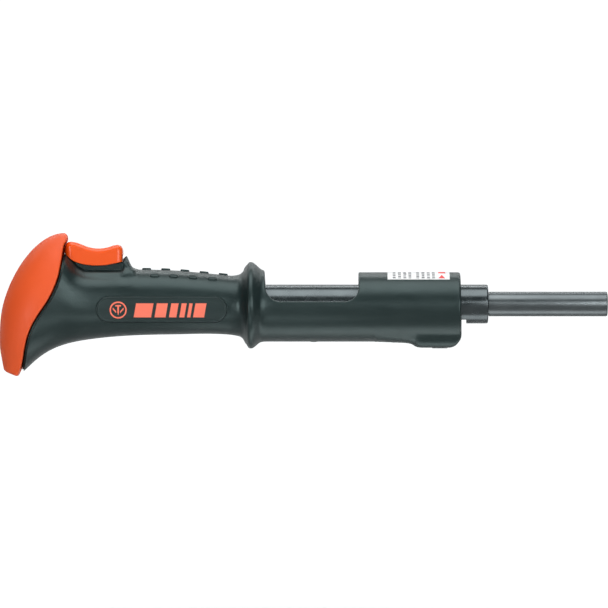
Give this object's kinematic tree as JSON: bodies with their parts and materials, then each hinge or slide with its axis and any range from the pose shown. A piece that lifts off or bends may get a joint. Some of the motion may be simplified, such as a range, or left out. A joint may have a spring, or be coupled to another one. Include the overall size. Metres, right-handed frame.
{
  "type": "powder-actuated nail gun",
  "caption": "In-line hand-held fastening tool: a steel barrel slides in a grip housing with hand ring, palm pad and thumb trigger.",
  "frame": {"origin": "centre of the muzzle's front face, on the barrel axis", "axes": "+X out of the muzzle along the barrel, +Z towards the thumb trigger, +Y to the tool's left as held with the trigger up"},
  "size_m": [0.3644, 0.0518, 0.0843],
  "materials": {
    "housing_plastic": "fine matte grain",
    "pad_rubber": "satin",
    "trigger_plastic": "semi-gloss",
    "badge_plastic": "satin with raised rim and printed pictogram",
    "label_vinyl": "printed white vinyl",
    "barrel_steel": "turned",
    "muzzle_steel": "grey phosphate",
    "tool_steel": "ground",
    "dark_steel": "black oxide",
    "spring_steel": "drawn wire",
    "buffer_rubber": "matte"
  },
  "bodies": {
    "housing": {"right_shell": "housing_plastic", "left_shell": "housing_plastic", "shell_screws": "dark_steel", "palm_pad": "pad_rubber", "pad_carrier": "housing_plastic", "pad_screws": "dark_steel", "name_badge_right": "badge_plastic", "name_badge_left": "badge_plastic", "info_label": "label_vinyl", "guide_tube": "tool_steel", "front_bush": "tool_steel", "thrust_plug": "tool_steel", "spring_guide": "tool_steel", "main_spring": "spring_steel", "return_spring": "spring_steel", "sear_cam": "tool_steel", "trigger_pin": "tool_steel", "trigger_spring": "spring_steel", "stop_key_spring": "spring_steel", "stop_key_cap": "dark_steel"},
    "bolt": {"bolt_body": "tool_steel", "sear_pin": "tool_steel", "sear_spring": "spring_steel", "rebound_spring": "spring_steel"},
    "sear": {"sear": "dark_steel"},
    "striker": {"striker": "tool_steel", "firing_pin": "tool_steel"},
    "barrel": {"barrel": "barrel_steel", "muzzle_guide": "muzzle_steel", "muzzle_clip": "spring_steel", "buffer_ring": "buffer_rubber"},
    "piston": {"piston": "tool_steel", "piston_ring": "spring_steel"},
    "trigger": {"trigger": "trigger_plastic"},
    "sear_bar": {"sear_bar": "tool_steel"},
    "stop_key": {"stop_key": "tool_steel"}
  },
  "joints": [
    {"name": "press_slide", "type": "slide", "parent": "housing", "child": "bolt", "axis": [1, 0, 0], "range_m": [-0.0125, 0], "stiffness_N_per_m": 1500, "springref_m": 0.03, "deforming": ["main_spring", "return_spring"]},
    {"name": "sear_pivot", "type": "hinge", "parent": "bolt", "child": "sear", "pos_m": [-0.268, 0, 0.0099], "axis": [0, 1, 0], "range_deg": [0, 7], "deforming": ["sear_spring"]},
    {"name": "striker_slide", "type": "slide", "parent": "bolt", "child": "striker", "axis": [1, 0, 0], "range_m": [0, 0.009], "stiffness_N_per_m": 300, "springref_m": -0.004, "deforming": ["rebound_spring", "main_spring"]},
    {"name": "barrel_slide", "type": "slide", "parent": "bolt", "child": "barrel", "axis": [1, 0, 0], "range_m": [0, 0.05]},
    {"name": "piston_slide", "type": "slide", "parent": "barrel", "child": "piston", "axis": [1, 0, 0], "range_m": [0, 0.078]},
    {"name": "trigger_pivot", "type": "hinge", "parent": "housing", "child": "trigger", "pos_m": [-0.319, 0, 0.028], "axis": [0, 1, 0], "range_deg": [0, 8.2], "stiffness_Nm_per_rad": 0.8, "springref_deg": -10.89, "deforming": ["trigger_spring"]},
    {"name": "sear_bar_slide", "type": "slide", "parent": "housing", "child": "sear_bar", "axis": [0, 0, -1], "range_m": [0, 0.0033]},
    {"name": "stop_key_slide", "type": "slide", "parent": "housing", "child": "stop_key", "axis": [0, 0, -1], "range_m": [0, 0.0026], "stiffness_N_per_m": 800, "springref_m": -0.006, "deforming": ["stop_key_spring"]}
  ],
  "couplings": [
    {"joint": "sear_pivot", "follows": "press_slide", "rad_per_m": -9.77},
    {"joint": "sear_bar_slide", "follows": "trigger_pivot", "m_per_rad": 0.023}
  ]
}
